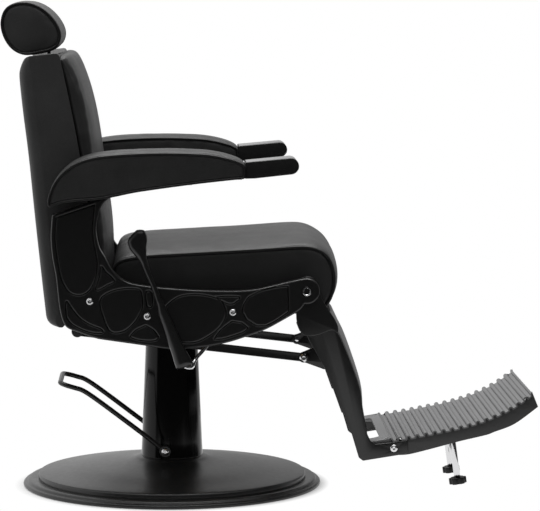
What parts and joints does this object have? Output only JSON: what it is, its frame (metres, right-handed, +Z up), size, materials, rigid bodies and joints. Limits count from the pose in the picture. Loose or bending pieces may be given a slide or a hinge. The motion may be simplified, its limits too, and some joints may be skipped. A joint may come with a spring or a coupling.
{
  "type": "hydraulic barber chair",
  "caption": "Hydraulic barber chair: round base with foot pump, swivelling seat, webbed side panels, reclining back with headrest, linked legrest with ribbed footplate.",
  "frame": {"origin": "centre of the round base on the floor", "axes": "+Z up along the column, +X the way the sitter faces, +Y to the sitter's left"},
  "size_m": [1.139, 0.676, 1.0505],
  "materials": {
    "upholstery": "satin black synthetic leather with a fine grain",
    "base_black": "satin black paint",
    "column_gloss": "gloss black paint",
    "plain_steel": "plain turned steel",
    "pump_paint": "dark grey paint",
    "zinc": "zinc plated",
    "bronze": "plain bearing bronze",
    "seal_rubber": "black rubber",
    "ram_chrome": "hard chrome, ground",
    "bright_chrome": "polished chrome",
    "frame_paint": "black powder coat",
    "plywood": "bare plywood",
    "panel_black": "satin moulded black",
    "insert_black": "fine textured black",
    "silver_plate": "brushed silver",
    "grip_black": "satin moulded black",
    "calf_grey": "satin dark grey",
    "rail_grey": "dark grey powder coat",
    "tread_metal": "brushed ribbed sheet",
    "foot_rubber": "black rubber"
  },
  "bodies": {
    "base": {"floor_ring": "base_black", "base_plate": "plain_steel", "base_cover": "base_black", "column_cover": "column_gloss", "pump_housing": "pump_paint", "pump_bolts": "zinc", "guide_bush": "bronze", "ram_seal": "seal_rubber"},
    "pedal": {"pump_pedal": "frame_paint", "pedal_shaft": "plain_steel", "pedal_bolts": "bright_chrome"},
    "ram": {"ram_tube": "ram_chrome", "ram_piston": "plain_steel"},
    "seat": {"swivel_socket": "frame_paint", "socket_bolts": "zinc", "seat_frame": "frame_paint", "seat_board": "plywood", "seat_cushion": "upholstery", "side_panel_right": "panel_black", "side_panel_left": "panel_black", "panel_inserts_right": "insert_black", "panel_inserts_left": "insert_black", "panel_screws": "bright_chrome", "arm_bar_right": "frame_paint", "arm_bar_left": "frame_paint", "arm_tip_plates": "silver_plate", "arm_pad_right": "upholstery", "arm_pad_left": "upholstery", "arm_screws": "bright_chrome", "back_pivot_bolts": "bright_chrome", "leg_pivot_bolts": "bright_chrome", "lock_cylinder": "frame_paint", "lever_bearings": "zinc"},
    "lever": {"lever_shaft": "plain_steel", "lever_rod": "bright_chrome", "lever_grip": "grip_black"},
    "back": {"back_frame": "frame_paint", "back_casing": "upholstery", "back_cushion": "upholstery", "post_sleeve": "grip_black"},
    "lock_rod": {"lock_rod": "bright_chrome"},
    "head_post": {"headrest_post": "bright_chrome"},
    "headrest": {"headrest_core": "plain_steel", "headrest_pad": "upholstery"},
    "legrest": {"leg_frame_right": "frame_paint", "leg_frame_left": "frame_paint", "leg_cross_tubes": "frame_paint", "calf_panel": "calf_grey", "foot_rails": "rail_grey", "foot_tread": "tread_metal", "foot_bolts": "bright_chrome", "prop_tubes": "bright_chrome", "link_bolts": "bright_chrome"},
    "links": {"link_bars": "frame_paint"},
    "foot_right": {"support_foot_right": "foot_rubber"},
    "foot_left": {"support_foot_left": "foot_rubber"}
  },
  "joints": [
    {"name": "pump_lift", "type": "slide", "parent": "base", "child": "ram", "axis": [0, 0, 1], "range_m": [0, 0.16]},
    {"name": "seat_swivel", "type": "hinge", "parent": "ram", "child": "seat", "pos_m": [0, 0, 0.345], "axis": [0, 0, 1], "continuous": true},
    {"name": "pedal_press", "type": "hinge", "parent": "base", "child": "pedal", "pos_m": [-0.015, 0, 0.084], "axis": [0, -1, 0], "range_deg": [0, 25], "stiffness_Nm_per_rad": 8, "springref_deg": -11.46},
    {"name": "back_recline", "type": "hinge", "parent": "seat", "child": "back", "pos_m": [-0.17, 0, 0.435], "axis": [0, -1, 0], "range_deg": [0, 45]},
    {"name": "legrest_swing", "type": "hinge", "parent": "seat", "child": "legrest", "pos_m": [0.281, 0, 0.454], "axis": [0, -1, 0], "range_deg": [0, 25.5]},
    {"name": "link_swing", "type": "hinge", "parent": "legrest", "child": "links", "pos_m": [0.281, 0, 0.297], "axis": [0, -1, 0], "range_deg": [-24, 0]},
    {"name": "lock_rod_slide", "type": "slide", "parent": "seat", "child": "lock_rod", "axis": [1, 0, 0], "range_m": [0, 0.0506]},
    {"name": "lever_pull", "type": "hinge", "parent": "seat", "child": "lever", "pos_m": [0.082, 0, 0.353], "axis": [0, -1, 0], "range_deg": [0, 15], "stiffness_Nm_per_rad": 3, "springref_deg": -8.59},
    {"name": "headrest_slide", "type": "slide", "parent": "back", "child": "head_post", "axis": [-0.1392, 0, 0.9903], "range_m": [0, 0.11]},
    {"name": "headrest_tilt", "type": "hinge", "parent": "head_post", "child": "headrest", "pos_m": [-0.2945, 0, 0.998], "axis": [0, -1, 0], "range_deg": [-20, 20]},
    {"name": "foot_right_screw", "type": "slide", "parent": "legrest", "child": "foot_right", "axis": [-0.1392, 0, 0.9903], "range_m": [-0.005, 0.01]},
    {"name": "foot_left_screw", "type": "slide", "parent": "legrest", "child": "foot_left", "axis": [-0.1392, 0, 0.9903], "range_m": [-0.005, 0.01]}
  ],
  "couplings": [
    {"joint": "legrest_swing", "follows": "back_recline", "ratio": 0.5636},
    {"joint": "link_swing", "follows": "back_recline", "ratio": -0.523},
    {"joint": "lock_rod_slide", "follows": "back_recline", "m_per_rad": 0.0643}
  ]
}
